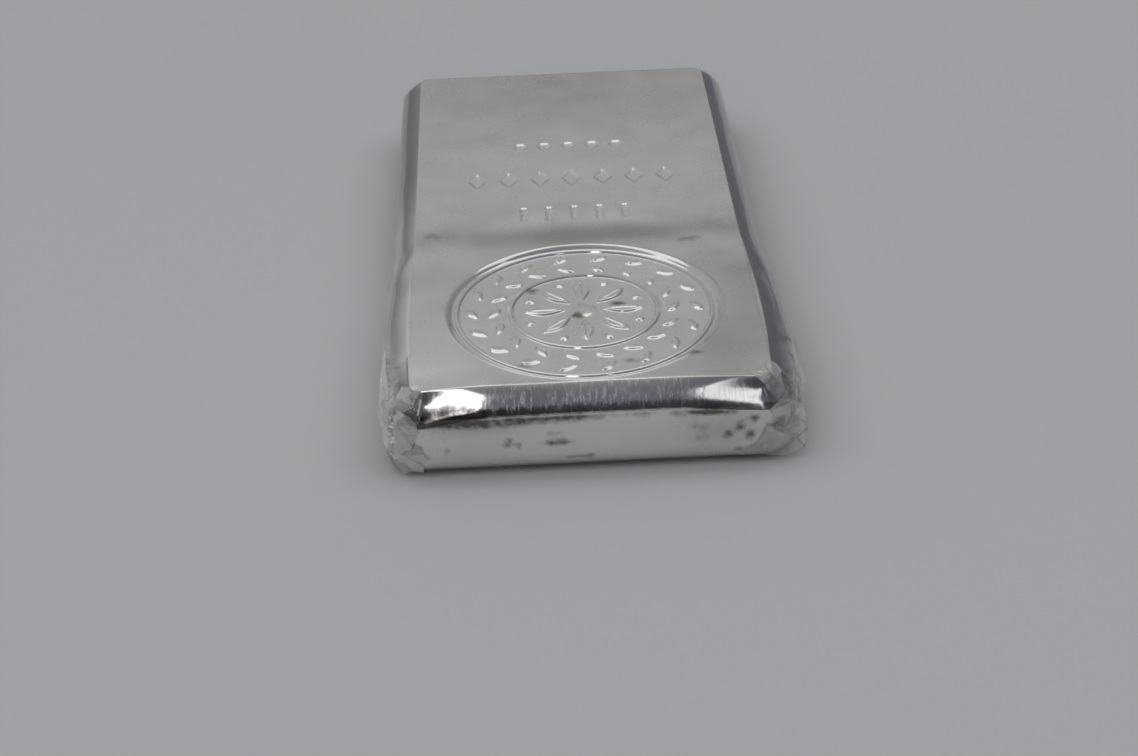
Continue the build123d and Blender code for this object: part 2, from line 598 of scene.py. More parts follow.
def corner_droop(x):
    """How far the near edge sinks at this place of it: more and more towards each corner."""
    from_x = np.where(x < 0, droop_from[0], droop_from[1])
    slope = np.where(x < 0, droop_slope[0], droop_slope[1])
    past = np.minimum(np.abs(x), droop_to) - from_x
    return slope * (np.sqrt(past**2 + droop_softness**2) + past) / 2


print("droop at the corners", corner_droop(np.array([-droop_to, droop_to])).round(2), "mm")

# %% The relief of the whole face
dish_outer = 22.6
dish_inner = 19.2
dish_depth = 0.22
dish_rim_height = 0.04
dish_rim_place = 0.6
dish_rim_half_width = 1.2
wave_size = 11.0
wave_height = 0.04
dent_size = 3.2
dent_height = 0.012

points = read_points(bar)
x, y, z = points.T
from_seal = np.hypot(x, y - seal_y)
on_face = (z > metal_top - flat_tolerance).astype(float)
in_seal = (from_seal < seal_outer + flat_tolerance) & (on_face > 0)
relief = np.zeros(len(points))
relief[in_seal] = turned_height(from_seal[in_seal]) + carved_height(x[in_seal], (y - seal_y)[in_seal])
relief += on_face * punched_height(x, y)
upper = soft_step(metal_floor + foot_radius, metal_top, z)
far_side = soft_step(seal_y + 4, seal_y + 12, y)
dish = -dish_depth * (1 - soft_step(dish_inner, dish_outer, from_seal)) * far_side
dish_rim = np.exp(-(((from_seal - dish_outer - dish_rim_place) / dish_rim_half_width) ** 2))
dish += dish_rim_height * dish_rim * far_side
waves = wave_height * cloud(points, wave_size, 1) + dent_height * cloud(points, dent_size, 2)
print("relief in mm", relief.min().round(2), relief.max().round(2))

# %% Moving the points of the bar
droop_on_face = 0.35
droop_at_crease = (0.65, 0.25)
edge_bow = 0.5

down_edge = np.clip((metal_top - z) / crease_drop, 0, 1)
near_edge = 1 - soft_step(-half_length + 4.0, -half_length + 10.0, y)
face_share = droop_on_face * soft_step(-half_length + 11.0, -flat_half_length, y)
wall_share = soft_step(metal_floor + foot_radius, crease_height - 0.2, z)
more_below = np.where(x < 0, droop_at_crease[0], droop_at_crease[1])
edge_share = np.minimum(droop_on_face + more_below * down_edge, wall_share)
sink_share = np.where(on_face > 0, face_share, edge_share)
droop = corner_droop(x) * near_edge
swell_share = soft_step(corner_x - 3, half_width, np.abs(x))
points[:, 0] += np.sign(x) * side_swell(y) * swell_share
points[:, 1] += edge_bow * droop * np.sin(math.pi * down_edge) * (y < -corner_y)
points[:, 2] += relief + upper * (dish + waves) - droop * sink_share
points[:, 2] = np.minimum(points[:, 2], metal_top + lip_height)
write_points(bar, points)
print("bar size", np.round(points.max(0) - points.min(0), 2), "top", round(points[:, 2].max(), 3))

# %% [markdown]
# ## Where the silver has changed, and where shading is painted
# Silver turns brown where fingers and damp film touch it. Those marks are soft spots at the places
# where the real bar has them, kept on the mesh as three numbers at each point: fresh metal in the
# struck marks, brown tarnish, and the grey breath that lies over the older parts of the face. The
# tarnish number also carries a painted shade along the lower part of the near edge. The grey number
# also carries painted shading: darker patches where the top, flanks and ends mirror less light, and
# lighter ones where they mirror more.

# %% The places of the tarnish, the haze and the painted shading
# Each spot is its middle, its two half sizes and its strength, in X and Z on the front, in X and Y on top
front_tarnish = (
    (-14.8, 2.9, 0.6, 0.6, 0.3), (-8.6, 3.6, 0.75, 0.4, 0.8), (-7.5, 3.1, 0.35, 0.3, 0.75),
    (-3.9, 4.3, 1.5, 0.25, 0.75), (-3.7, 3.5, 1.6, 0.28, 0.9), (-0.4, 1.75, 0.6, 0.22, 0.9),
    (-2.0, 1.6, 1.1, 0.15, 0.5), (10.5, 6.0, 3.0, 0.2, 0.8), (13.5, 3.4, 0.55, 0.5, 0.7),
    (14.8, 4.3, 0.5, 0.7, 0.65), (15.8, 3.2, 0.5, 0.6, 0.75), (14.5, 1.75, 0.7, 0.22, 0.9),
    (10.6, 4.6, 1.3, 0.8, 0.3), (11.0, 3.2, 1.0, 0.8, 0.3), (16.2, 5.1, 0.6, 0.5, 0.55),
    (-12.0, 5.9, 4.5, 0.45, 0.75), (-4.0, 6.1, 4.5, 0.35, 0.55),
)
top_tarnish = (
    (10.5, -33.9, 1.5, 0.45, 0.55), (-16.2, -5.8, 1.3, 1.1, 0.35), (12.5, -8.6, 2.0, 0.7, 0.4),
    (-0.7, -24.6, 0.7, 0.7, 0.8), (3.6, -22.4, 1.0, 0.7, 0.65), (-5.4, -18.8, 0.9, 0.8, 0.5),
    (4.4, -34.4, 1.1, 0.6, 0.45), (-6.6, -34.4, 1.2, 0.6, 0.4),
)
# Painted shading on the top: greyer at the right, the far end and the band beyond the seal, and lighter
# (negative strength) at the near left corner and between the rows. The last two grey two spots of the near
# edge's band.
face_haze_and_painted_shading = (
    (15.0, -33.0, 7.0, 7.0, 0.45), (18.0, -18.0, 4.0, 12.0, 0.4), (0.0, -6.4, 17.0, 2.4, 0.9),
    (0.0, 36.0, 24.0, 12.0, 0.4), (-17.0, -32.0, 6.0, 7.0, -0.3), (0.0, 8.0, 13.0, 10.0, -0.15),
    (-9.4, -39.6, 1.6, 0.9, 0.6), (-4.7, -39.7, 2.0, 0.8, 0.5),
)
# Three greyer patches on the near wall, two towards its left and one towards its right, in X and Z.
front_grey_patches = ((-12.0, 5.6, 5.0, 1.0, 0.6), (-13.0, 2.4, 5.0, 1.4, 0.2), (13.0, 4.0, 4.5, 2.4, 0.5))
# From left to right along the near edge: how far down its slope the brown starts, and how strong it is.
# It is partly dirt and partly a painted shade that cuts off the lower part of the two highlights.
dirt_and_shade_x = (-19.0, -16.0, -13.0, -7.0, 4.0, 9.0, 14.0, 17.0, 19.0)
dirt_and_shade_from = (0.50, 0.54, 0.50, 0.64, 0.72, 0.70, 0.62, 0.70, 0.78)
dirt_and_shade_strength = (0.42, 0.48, 0.50, 0.38, 0.30, 0.28, 0.30, 0.30, 0.30)
print("spots", len(front_tarnish + top_tarnish), "brown,", len(face_haze_and_painted_shading + front_grey_patches), "grey")

# %% Helpers for the kept numbers


def gathered(spots, across, along):
    """The sum of soft spots, each given by its middle, its two half sizes and its strength."""
    total = np.zeros(len(across))
    for middle_x, middle_y, half_x, half_y, strength in spots:
        total += strength * soft_spot(across, along, (middle_x, middle_y), (half_x, half_y))
    return total


def keep_number(piece, name, values):
    """Stores one number at each point of the piece, for its material to read."""
    attribute = piece.data.attributes.new(name, "FLOAT", "POINT")
    attribute.data.foreach_set("value", np.clip(values, 0, 1).astype(np.float32))


# %% Fresh, tarnished and hazy points, and painted shading
crease_dirt = 0.5
crease_dirt_place = 0.5
crease_dirt_half_width = 0.4

near_wall = (y < -half_length + 2.6) & (z < crease_height + 0.1)
from_crease = (z - crease_height + crease_dirt_place) / crease_dirt_half_width
crease_line = np.exp(-(from_crease**2)) * (z < crease_height - 0.1)
tarnish_and_painted_shade = near_wall * gathered(front_tarnish, x, z) + (z > metal_top - 0.6) * gathered(top_tarnish, x, y)
tarnish_and_painted_shade += crease_dirt * crease_line * (0.6 + 0.55 * cloud(points, 4.0, 5))
# Painted shade with some real dirt: a ragged brown strip down the near edge's slope darkens its lower part
# and cuts the two highlights short.
dirt_and_shade_start = np.interp(x, dirt_and_shade_x, dirt_and_shade_from) + 0.10 * cloud(points, 1.4, 9)
edge_dirt_and_painted_shade = soft_step(0, 0.14, down_edge - dirt_and_shade_start) * (down_edge < 1) * (y < -flat_half_length)
tarnish_and_painted_shade += np.interp(x, dirt_and_shade_x, dirt_and_shade_strength) * edge_dirt_and_painted_shade
struck = np.where(in_seal, 1 - soft_step(seal_radius - 0.3, seal_radius + 0.1, from_seal), 0)
struck = np.maximum(struck, np.clip(-on_face * punched_height(x, y) / punch_depth, 0, 1))
# Grey breath in random clouds, plus the painted shading spots on the top and the ends.
haze_and_painted_shading = 0.2 + gathered(face_haze_and_painted_shading, x, y) + 0.16 * cloud(points, 5.0, 6)
# Painted shade: the flanks are greyed darker, all of the right one and the left one from its middle on.
flank_painted_shade = 1 - (x < 0) * (1 - soft_step(-4.0, 12.0, y))
top_and_ends = on_face + soft_step(0.92, 1.0, np.abs(y) / half_length) > 0
haze_and_painted_shading = np.where(top_and_ends, haze_and_painted_shading, flank_painted_shade)
haze_and_painted_shading = np.where(near_wall, gathered(front_grey_patches, x, z), haze_and_painted_shading)
keep_number(bar, "struck", struck)
keep_number(bar, "tarnish_and_painted_shade", tarnish_and_painted_shade)
keep_number(bar, "haze_and_painted_shading", haze_and_painted_shading)
print("tarnished points", int((tarnish_and_painted_shade > 0.3).sum()))

# %% Scaling the bar to metres


def to_metres(piece, sharp_degrees):
    """Scales a piece from the bench to metres, in its mesh, and smooths all but its sharp edges."""
    piece.data.transform(Matrix.Scale(MM, 4))
    pick_only(piece)
    bpy.ops.object.shade_smooth_by_angle(angle=math.radians(sharp_degrees))


to_metres(bar, 35)
print("bar in metres", [round(side, 4) for side in bar.dimensions])

# %% [markdown]
# ## The film
# The film is one thin skin that hugs the bar, so it is made as the bar is: a sheet, extruded ring by
# ring. At the two near corners the folded ends stand off as small pockets, an upper lobe and a lower
# one with a tuck between them. They are pulled out by formula and then crumpled with sharp-edged
# noise, and a Solidify modifier gives the skin its two sides.

# %% The skin of the film
film_gap = 0.12
film_skin = 0.03
film_limit = 22.12
film_x_lines = even_lines(-flat_half_width, 8, -corner_x, 60, corner_x, 8, flat_half_width)
film_y_lines = even_lines(-flat_half_length, 8, -corner_y, 60, -20.0, 60, corner_y, 8, flat_half_length)
film_edge_rings = 9
film_wall_rings = 20
film_wall_from = 0.25
film_wall_to = 0.3
# How far in from the flank, and how high, each ring of the film's foot lies
film_foot = ((0.18, 0.78), (0.42, 0.38), (0.8, 0.09), (1.3, 0.06))


def film_profile():
    """The rings of the film: round the upper edge, down the wall, and cut across the foot."""
    rings = []
    reach = top_inset + film_gap
    for out, down, lean in worn_edge(film_edge_rings):
        rings.append((out + film_gap * math.sin(lean), metal_top - down + film_gap * math.cos(lean)))
    wall_top = metal_top - top_inset - film_wall_from
    wall_foot = metal_floor + foot_radius - film_wall_to
    rings += [(reach, height) for height in np.linspace(wall_top, wall_foot, film_wall_rings)]
    rings += [(reach - inset, height) for inset, height in film_foot]
    return rings


film = lined_sheet("film_wrap_folded", film_x_lines, film_y_lines, metal_top + film_gap)
round_corners(film, corner_x, corner_y, flat_corner_radius)
extrude_rings(film, film_profile(), corner_x, corner_y)
print("film", len(film.data.polygons), "faces")

# %% The two lobes of a pocket
# Each lobe is its start, tip and end in Y, its foot, tip and top in Z, and its reach
upper_lobe = ((-19.0, -36.4, -39.9), (4.35, 5.3, 8.6), 0.5)
lower_lobe = ((-27.0, -39.2, -41.4), (0.5, 2.5, 4.05), 0.45)


def lobe(y, z, places, heights, reach):
    """How far a pocket stands out at this place of the flank."""
    start, tip, end = places
    low, crest, high = heights
    along = np.clip((start - y) / (start - tip), 0, 1) ** 1.4
    along = along * np.clip((y - end) / (tip - end), 0, 1) ** 0.5
    above = np.clip((high - z) / (high - crest), 0, 1)
    below = np.clip((z - low) / (crest - low), 0, 1)
    return reach * (along * np.minimum(above, below) ** 0.8)


print("lobes reach", upper_lobe[-1], "and", lower_lobe[-1], "mm")

# %% Pulling out the pockets
film_past_end = 0.14
even_slack = 0.04
stretch_size = 2.2
stretch_slack = 0.04
crinkle_size = 1.5
crinkle_slack = 0.16

points = read_points(film)
x, y, z = points.T
side = np.sign(x)
flank = soft_step(corner_x + 1.5, half_width, np.abs(x))
near_corner = 1 - soft_step(-half_length + 4, -half_length + 18, y)
pull = lobe(y, z, *upper_lobe) + lobe(y, z, *lower_lobe)
stretch = cloud(points * np.array([1.0, 0.45, 1.0]), stretch_size, 3, 3)
crumple = 1 - 2.2 * np.abs(cloud(points * np.array([1.0, 0.6, 1.2]), crinkle_size, 4, 2))
slack = near_corner * (0.05 + crinkle_slack * crumple) + even_slack + stretch_slack * stretch
points[:, 0] += side * flank * (side_swell(y) + pull + slack)
in_corner = near_corner * flank * soft_step(0.8, 2.2, z) * (1 - soft_step(8.0, 9.0, z))
points[:, 1] -= in_corner * 0.1 * (1 + crumple) * (y < -corner_y)
points[:, 0] = np.clip(points[:, 0], -film_limit, film_limit)
points[:, 1] = np.clip(points[:, 1], -half_length - film_past_end, half_length + film_past_end)
write_points(film, points)
print("film width", np.ptp(points[:, 0]).round(2))

# %% Layers and folds of the film
pleat_size = 1.6

pleats = 1 - 5 * np.abs(cloud(points * np.array([1.0, 1.0, 0.3]), pleat_size, 8))
film_layers = (0.5 * in_corner + 0.25 * near_corner * flank) * (0.7 + 0.6 * stretch)
keep_number(film, "layers", film_layers * np.where(x < 0, 1, 0.5))
keep_number(film, "fold", pleats * np.clip(1.1 * in_corner + 0.6 * near_corner * flank, 0, 0.95))
print("folded points", int((film_layers > 0.3).sum()))

# %% [markdown]
# ## The folded corners
# Where the film's tube was folded shut, its spare cloth was tucked round each near corner, like the
# ends of a wrapped present. Each tuck is a fan of flat facets round one point, so it starts as a
# circle filled with triangles, and each triangle is laid between the middle and the places where two
# real folds end. The facets sag and crumple a little, and the distance to the nearest fold is kept
# for the material.

# %% The places of the tucks
# Each tuck is its middle and its rim. A rim point ends with the sharpness of its fold, from 0 to 1.
tucks = {
    "left_ear": ((-21.05, -35.5, 7.4), (
        (-20.3, -38.6, 8.1, 0.5), (-20.75, -34.0, 8.75, 0.8), (-21.15, -28.5, 8.5, 0.3),
        (-21.5, -33.5, 7.4, 0.0), (-21.6, -35.6, 6.6, 0.6), (-20.7, -38.2, 6.0, 0.2),
    )),
    "left_upper_tuck": ((-19.75, -40.7, 6.2), (
        (-20.75, -38.3, 7.7, 0.2), (-21.75, -35.5, 6.2, 1.0), (-21.4, -36.6, 3.2, 0.3),
        (-20.35, -39.9, 1.2, 0.0), (-18.1, -41.1, 3.6, 1.0), (-17.5, -41.08, 6.1, 0.0),
        (-18.7, -40.5, 7.3, 0.3),
    )),
    "left_lower_tuck": ((-19.3, -40.85, 2.7), (
        (-18.1, -41.12, 3.8, 0.9), (-20.7, -38.9, 3.6, 0.35), (-20.2, -40.0, 0.9, 0.2),
        (-18.3, -41.02, 0.45, 0.0), (-16.9, -41.13, 1.2, 0.8), (-16.9, -41.14, 2.9, 0.1),
    )),
    "right_ear": ((21.15, -37.6, 7.0), (
        (20.3, -38.8, 8.0, 0.2), (20.9, -35.2, 8.6, 0.7), (21.2, -30.0, 8.5, 0.2), (21.6, -33.8, 7.5, 0.5),
        (21.98, -36.6, 6.1, 0.0), (21.3, -37.0, 4.3, 0.6), (20.4, -39.2, 5.6, 0.3),
    )),
    "right_crinkle": ((18.2, -38.9, 8.75), (
        (16.4, -38.3, 9.0, 0.9), (17.6, -37.4, 9.05, 1.0), (18.6, -36.4, 9.05, 0.5), (19.2, -38.2, 8.6, 1.0),
        (19.5, -39.7, 7.4, 0.9), (18.3, -40.6, 7.2, 0.4), (17.3, -39.7, 8.25, 1.0),
    )),
    "left_crinkle": ((-17.9, -40.2, 7.9), (
        (-16.9, -38.6, 8.9, 0.8), (-17.2, -40.9, 6.5, 1.0), (-18.4, -40.9, 5.6, 0.5),
        (-19.6, -39.9, 7.0, 1.0), (-19.9, -38.4, 8.2, 0.4), (-18.3, -37.6, 9.05, 0.9),
    )),
    "right_upper_tuck": ((20.2, -40.3, 5.4), (
        (18.3, -40.9, 7.1, 0.5), (20.4, -39.1, 6.9, 0.2), (21.5, -38.2, 4.9, 0.7),
        (21.75, -39.3, 3.3, 0.2), (19.0, -40.95, 2.8, 0.9), (17.75, -41.12, 5.2, 0.3),
    )),
    "right_lower_tuck": ((20.6, -40.7, 2.5), (
        (20.9, -39.9, 4.1, 0.6), (21.82, -39.4, 2.8, 0.9), (21.4, -40.4, 1.1, 0.7), (19.3, -40.95, 0.5, 0.0),
        (14.5, -41.14, 1.0, 0.1), (16.6, -41.15, 2.4, 0.0), (17.6, -41.14, 4.4, 0.4), (19.0, -41.0, 4.0, 0.5),
    )),
}
thin_tucks = [name for name in tucks if "right" in name or "crinkle" in name]
print("tucks", len(tucks), "of which thin", len(thin_tucks))

# %% Making the tucks
crumple_size = 1.3
crumple_depth = 0.07
facet_sag = 0.16
fold_reach = 0.24
rim_blunt_share = 0.45
fold_break_size = 0.7
tuck_past_end = 0.15
facet_cuts = 11


def to_segment(points, start, end):
    """How far each point is from the straight line between start and end."""
    span = end - start
    share = np.clip((points - start) @ span / (span @ span), 0, 1)
    return np.linalg.norm(points - start - share[:, None] * span, axis=1)


def make_tuck(name, middle, rim, seed):
    """A fan of crumpled facets from its middle to the points of its rim, whose folds differ in sharpness."""
    bpy.ops.object.select_all(action="DESELECT")
    bpy.ops.mesh.primitive_circle_add(vertices=len(rim), radius=1, fill_type="TRIFAN")
    tuck = bpy.context.object
    tuck.name = name
    bpy.ops.object.mode_set(mode="EDIT")
    bpy.ops.mesh.subdivide(number_cuts=facet_cuts)
    bpy.ops.object.mode_set(mode="OBJECT")
    flat = read_points(tuck)[:, :2]
    turn = math.tau / len(rim)
    sector = np.floor(np.arctan2(flat[:, 1], flat[:, 0]) / turn + 1e-4).astype(int) % len(rim)
    ahead = (flat[:, 1] * np.cos(sector * turn) - flat[:, 0] * np.sin(sector * turn)) / math.sin(turn)
    back = flat[:, 0] * np.cos(sector * turn) + flat[:, 1] * np.sin(sector * turn) - ahead * math.cos(turn)
    middle = np.array(middle)
    ends = np.array([point[:3] for point in rim])
    next_ends = np.roll(ends, -1, axis=0)
    sharpness = [point[3] for point in rim]
    first = ends[sector] - middle
    second = next_ends[sector] - middle
    cloth = middle + back[:, None] * first + ahead[:, None] * second
    folds = [to_segment(cloth, middle, end) + fold_reach * (1 - sharp) for end, sharp in zip(ends, sharpness)]
    for start, end in zip(ends, next_ends):
        folds.append(to_segment(cloth, start, end) + fold_reach * rim_blunt_share)
    near_fold = 1 - np.min(folds, axis=0) / fold_reach
    away = cloth * np.array([1.0, 1.0, 0.0]) - np.array([math.copysign(corner_x, middle[0]), -corner_y, 0])
    away /= np.linalg.norm(away, axis=1)[:, None]
    random = np.random.default_rng(seed)
    sag = random.uniform(-1.0, 1.0, len(rim))[sector] * facet_sag * 4 * np.clip(ahead * back, 0, 1)
    ripples = crumple_depth * (1 - 2.5 * np.abs(cloud(cloth, crumple_size, seed, 3)))
    cloth += away * (sag + ripples * np.clip(1 - near_fold, 0, 1))[:, None]
    cloth[:, 0] = np.clip(cloth[:, 0], -film_limit, film_limit)
    cloth[:, 1] = np.maximum(cloth[:, 1], -half_length - tuck_past_end)
    write_points(tuck, cloth)
    keep_number(tuck, "fold", near_fold * (0.85 + 0.35 * cloud(cloth, fold_break_size, seed + 20)))
    facet_layers = random.uniform(0.2, 0.8, len(rim))[sector]
    keep_number(tuck, "layers", facet_layers * (0.5 if name in thin_tucks else 1.0))
    return tuck


tuck_pieces = [make_tuck(name, *tuck, seed) for seed, (name, tuck) in enumerate(tucks.items())]
print("faces of the tucks", [len(tuck.data.polygons) for tuck in tuck_pieces])

# %% Two sides for the skin
pick_only(film)
for tuck in tuck_pieces:
    tuck.select_set(True)
bpy.ops.object.join()
bpy.ops.object.mode_set(mode="EDIT")
bpy.ops.mesh.select_all(action="SELECT")
bpy.ops.mesh.normals_make_consistent(inside=False)
bpy.ops.object.mode_set(mode="OBJECT")
wall = film.modifiers.new("wall", "SOLIDIFY")
wall.thickness = film_skin
wall.offset = -1
bpy.ops.object.modifier_apply(modifier=wall.name)
to_metres(film, 14)
print("film with two sides", len(film.data.polygons), "faces")

# %% [markdown]
# ## Finishes
# Each finish is a small node graph. One helper adds a node with its settings and links, and hands
# back the output that the next node reads. Colours are written as sRGB hex values, as a screen shows
# them, and one function turns them to the linear values that the shaders need.

# %% Node helpers


def hex_colour(text):
    """An sRGB hex colour as linear red, green, blue and alpha."""
    parts = [int(text[place:place + 2], 16) / 255 for place in (1, 3, 5)]
    linear = [part / 12.92 if part <= 0.04045 else ((part + 0.055) / 1.055) ** 2.4 for part in parts]
    return (*linear, 1.0)


def new_material(name):
    material = bpy.data.materials.new(name)
    material.use_nodes = True
    material.node_tree.nodes.clear()
    return material


def add_node(tree, kind, inputs, out=0, **settings):
    """Adds a node and returns one of its outputs, by name or number.

    Inputs are values or other nodes' outputs, in the node's own order or as a dict with names or
    numbers. Settings are the node's properties.
    """
    node = tree.nodes.new(kind)
    for name, value in settings.items():
        setattr(node, name, value)
    for name, value in inputs.items() if isinstance(inputs, dict) else enumerate(inputs):
        if isinstance(value, bpy.types.NodeSocket):
            tree.links.new(value, node.inputs[name])
        else:
            node.inputs[name].default_value = value
    return node.outputs[out] if node.outputs else None


def narrowed(tree, share, *limits):
    """A share, times what each limit gives.

    A limit is what it reads, where it starts and ends, and what it gives there, which is the order
    of a Map Range node's inputs.
    """
    for limit in limits:
        let_through = add_node(tree, "ShaderNodeMapRange", limit)
        share = add_node(tree, "ShaderNodeMath", (share, let_through), operation="MULTIPLY")
    return share


def overlaid(tree, base, *coats):
    """A hex colour with coats over it, each as strong as its share and in its own hex colour."""
    colour = hex_colour(base)
    for share, coat in coats:
        mixed = {0: share, 6: colour, 7: hex_colour(coat)}
        colour = add_node(tree, "ShaderNodeMix", mixed, out=2, data_type="RGBA")
    return colour


# %% [markdown]
# ## The silver
# The bar is soft pure metal, cast, struck and left as it came from the press, so it is satin and not
# mirror bright. A metal has no colour under its reflection: its base colour tints what it mirrors,
# and its roughness says how sharply. A painted picture could carry the tarnish, but it would blur
# close up. Here the graph reads the numbers kept at each point and breaks their soft borders up
# with noise of a real size, so they stay ragged at any distance.

# %% The colour of the silver
silver = new_material("satin_silver")
tree = silver.node_tree
place = add_node(tree, "ShaderNodeTexCoord", (), out="Object")
struck_here, tarnish_and_painted_shade_here, haze_and_painted_shading_here = (
    add_node(tree, "ShaderNodeAttribute", (), out="Fac", attribute_name=name)
    for name in ("struck", "tarnish_and_painted_shade", "haze_and_painted_shading")
)
cloud_size = 6.0 * MM
blot_size = 0.8 * MM
clouds = add_node(tree, "ShaderNodeTexNoise", {"Vector": place, "Scale": 1 / cloud_size, "Detail": 4.0})
blots = add_node(tree, "ShaderNodeTexNoise", {"Vector": place, "Scale": 1 / blot_size, "Detail": 6.0})
fresh = narrowed(tree, struck_here, (clouds, 0, 1, 0.6, 1.0))
stain_and_shade = add_node(tree, "ShaderNodeMath", (tarnish_and_painted_shade_here, blots), operation="MULTIPLY")
browned_and_shaded = add_node(tree, "ShaderNodeMapRange", (stain_and_shade, 0.07, 0.32, 0, 0.93))
# Clean silver is pale. The grey coat is the breath of years and also painted shading, greyer or lighter.
# Fresh struck metal stays bright. The brown coat is tarnish and also a painted shade on the near edge.
silver_colour = overlaid(tree, "#F8F5F5", (haze_and_painted_shading_here, "#B9B5B3"), (fresh, "#F5F3F2"), (browned_and_shaded, "#453D33"))
print("silver", len(tree.nodes), "nodes for its colour")

# %% Where the silver is polished and scuffed
# The pressed edge leans, so it is found by the way it faces. It is polished, and its near side is
# scuffed up and down, most of all within 9 mm of the middle. Real scuffs are finer than these, which
# are as coarse as they need to be to show.
normal = add_node(tree, "ShaderNodeNewGeometry", (), out="Normal")
facing_up = add_node(tree, "ShaderNodeSeparateXYZ", [normal], out="Z")
leaning = add_node(tree, "ShaderNodeMapRange", (facing_up, 0.18, 0.3, 0, 1))
polished = narrowed(tree, leaning, (facing_up, 0.99, 0.93, 0, 1), (haze_and_painted_shading_here, 0.4, 0.9, 1, 0.3))
streak_size = 0.24 * MM
streak_place = add_node(tree, "ShaderNodeMapping", {"Vector": place, "Scale": (1.0, 0.22, 0.22)})
streaks = add_node(tree, "ShaderNodeTexNoise", {
    "Vector": streak_place, "Scale": 1 / streak_size, "Detail": 4.0,
})
place_x = add_node(tree, "ShaderNodeSeparateXYZ", [place], out="X")
place_y = add_node(tree, "ShaderNodeSeparateXYZ", [place], out="Y")
from_middle = add_node(tree, "ShaderNodeMath", [place_x], operation="ABSOLUTE")
near_middle = (from_middle, 9 * MM, 12 * MM, 1, 0.2)
near_side = (place_y, -37.5 * MM, -38.5 * MM, 0, 1)
worn = narrowed(tree, polished, near_middle, near_side)
scuffs = narrowed(tree, worn, (streaks, 0.42, 0.66, 0, 1))
print("silver", len(tree.nodes), "nodes with its polish")

# %% The gloss of the silver
dint_size = 2.2 * MM
bump_height = 0.02 * MM
satin = add_node(tree, "ShaderNodeMapRange", (clouds, 0.3, 0.7, 0.24, 0.33))
edge_gloss = add_node(tree, "ShaderNodeMapRange", (scuffs, 0, 1, 0.08, 0.34))
gloss = add_node(tree, "ShaderNodeMix", {0: polished, 2: satin, 3: edge_gloss})
# Handling left soft dints on the faces and fine streaks along the edge
dints = add_node(tree, "ShaderNodeTexNoise", {"Vector": place, "Scale": 1 / dint_size, "Detail": 2.0})
dinted = add_node(tree, "ShaderNodeBump", {"Height": dints, "Strength": 0.08, "Distance": bump_height})
worn_streaks = add_node(tree, "ShaderNodeMath", (streaks, worn), operation="MULTIPLY")
streaked = add_node(tree, "ShaderNodeBump", {
    "Height": worn_streaks, "Strength": 0.3, "Distance": bump_height, "Normal": dinted,
})
metal = add_node(tree, "ShaderNodeBsdfPrincipled", {
    "Base Color": silver_colour, "Metallic": 1.0, "Roughness": gloss, "Normal": streaked,
})
add_node(tree, "ShaderNodeOutputMaterial", {"Surface": metal})
bar.data.materials.clear()
bar.data.materials.append(silver)
print("silver", len(tree.nodes), "nodes in all")

# %% [markdown]
# ## The film's clearness
# Clear packing film is polypropylene, blown and left glossy. A glass shader would trace light
# through both sides of every fold, slowly and with dark noise. The skin is far too thin to bend
# light, so a transparent shader mixed with a glossy one by the angle of view does the same work.
# One layer is nearly invisible. Folded layers each send a little light back and take a little away.
# Along a sharp fold the film turns white, partly from stress and partly as a painted glint, and a
# painted shadow line runs beside it.

# %% Clear film
clear_film = new_material("clear_polypropylene_film")
tree = clear_film.node_tree
layers_here, fold_here = (
    add_node(tree, "ShaderNodeAttribute", (), out="Fac", attribute_name=name) for name in ("layers", "fold")
)
slant = add_node(tree, "ShaderNodeLayerWeight", {"Blend": 0.5}, out="Facing")
steep = add_node(tree, "ShaderNodeMath", (slant, 5.0), operation="POWER")
least_glint = add_node(tree, "ShaderNodeMapRange", (layers_here, 0, 1, 0.04, 0.22))
edge_glint = add_node(tree, "ShaderNodeMath", (steep, 0.75, least_glint), operation="MULTIPLY_ADD")
# Painted shadow: beside each fold the see-through colour darkens to a grey line.
up_to_fold = add_node(tree, "ShaderNodeMapRange", (fold_here, 0.25, 0.55, 0, 1))
painted_fold_shadow = narrowed(tree, up_to_fold, (fold_here, 0.85, 0.70, 0, 0.4))
seen_through = overlaid(tree, "#FCFCFC", (layers_here, "#EFEFEF"), (painted_fold_shadow, "#818181"))
through = add_node(tree, "ShaderNodeBsdfTransparent", {"Color": seen_through})
shine = add_node(tree, "ShaderNodeBsdfGlossy", {"Color": hex_colour("#FFFFFF"), "Roughness": 0.06})
skin = add_node(tree, "ShaderNodeMixShader", (edge_glint, through, shine))
print("film", len(tree.nodes), "nodes for one layer")

# %% White folds: stress whitening and a painted glint
# The white on a fold is partly stress whitening and partly a painted glint; the milky pockets are layered
# film.
fold_whitening_and_glint = add_node(tree, "ShaderNodeMapRange", (fold_here, 0.70, 0.92, 0, 0.95))
cloudy_layers = add_node(tree, "ShaderNodeMath", (layers_here, 0.42), operation="MULTIPLY")
milky_and_glint = add_node(tree, "ShaderNodeMath", (fold_whitening_and_glint, cloudy_layers), operation="MAXIMUM")
white_and_glint = add_node(tree, "ShaderNodeBsdfDiffuse", {"Color": hex_colour("#F0F0F0")})
skin = add_node(tree, "ShaderNodeMixShader", (milky_and_glint, skin, white_and_glint))
add_node(tree, "ShaderNodeOutputMaterial", {"Surface": skin})
film.data.materials.clear()
film.data.materials.append(clear_film)
print("film", len(tree.nodes), "nodes in all")

# %% [markdown]
# ## Into the frame
# Both pieces rest in one body, and each takes the place of its plain solid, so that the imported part
# is shown with these meshes and finishes.

# %% The pieces ride on the frame
for piece, node, slot in ((bar, "silver_bar", "silver"), (film, "film_wrap", "clear_film")):
    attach(piece, "root")
    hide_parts(node)
    print(piece.name, "stands for", node)

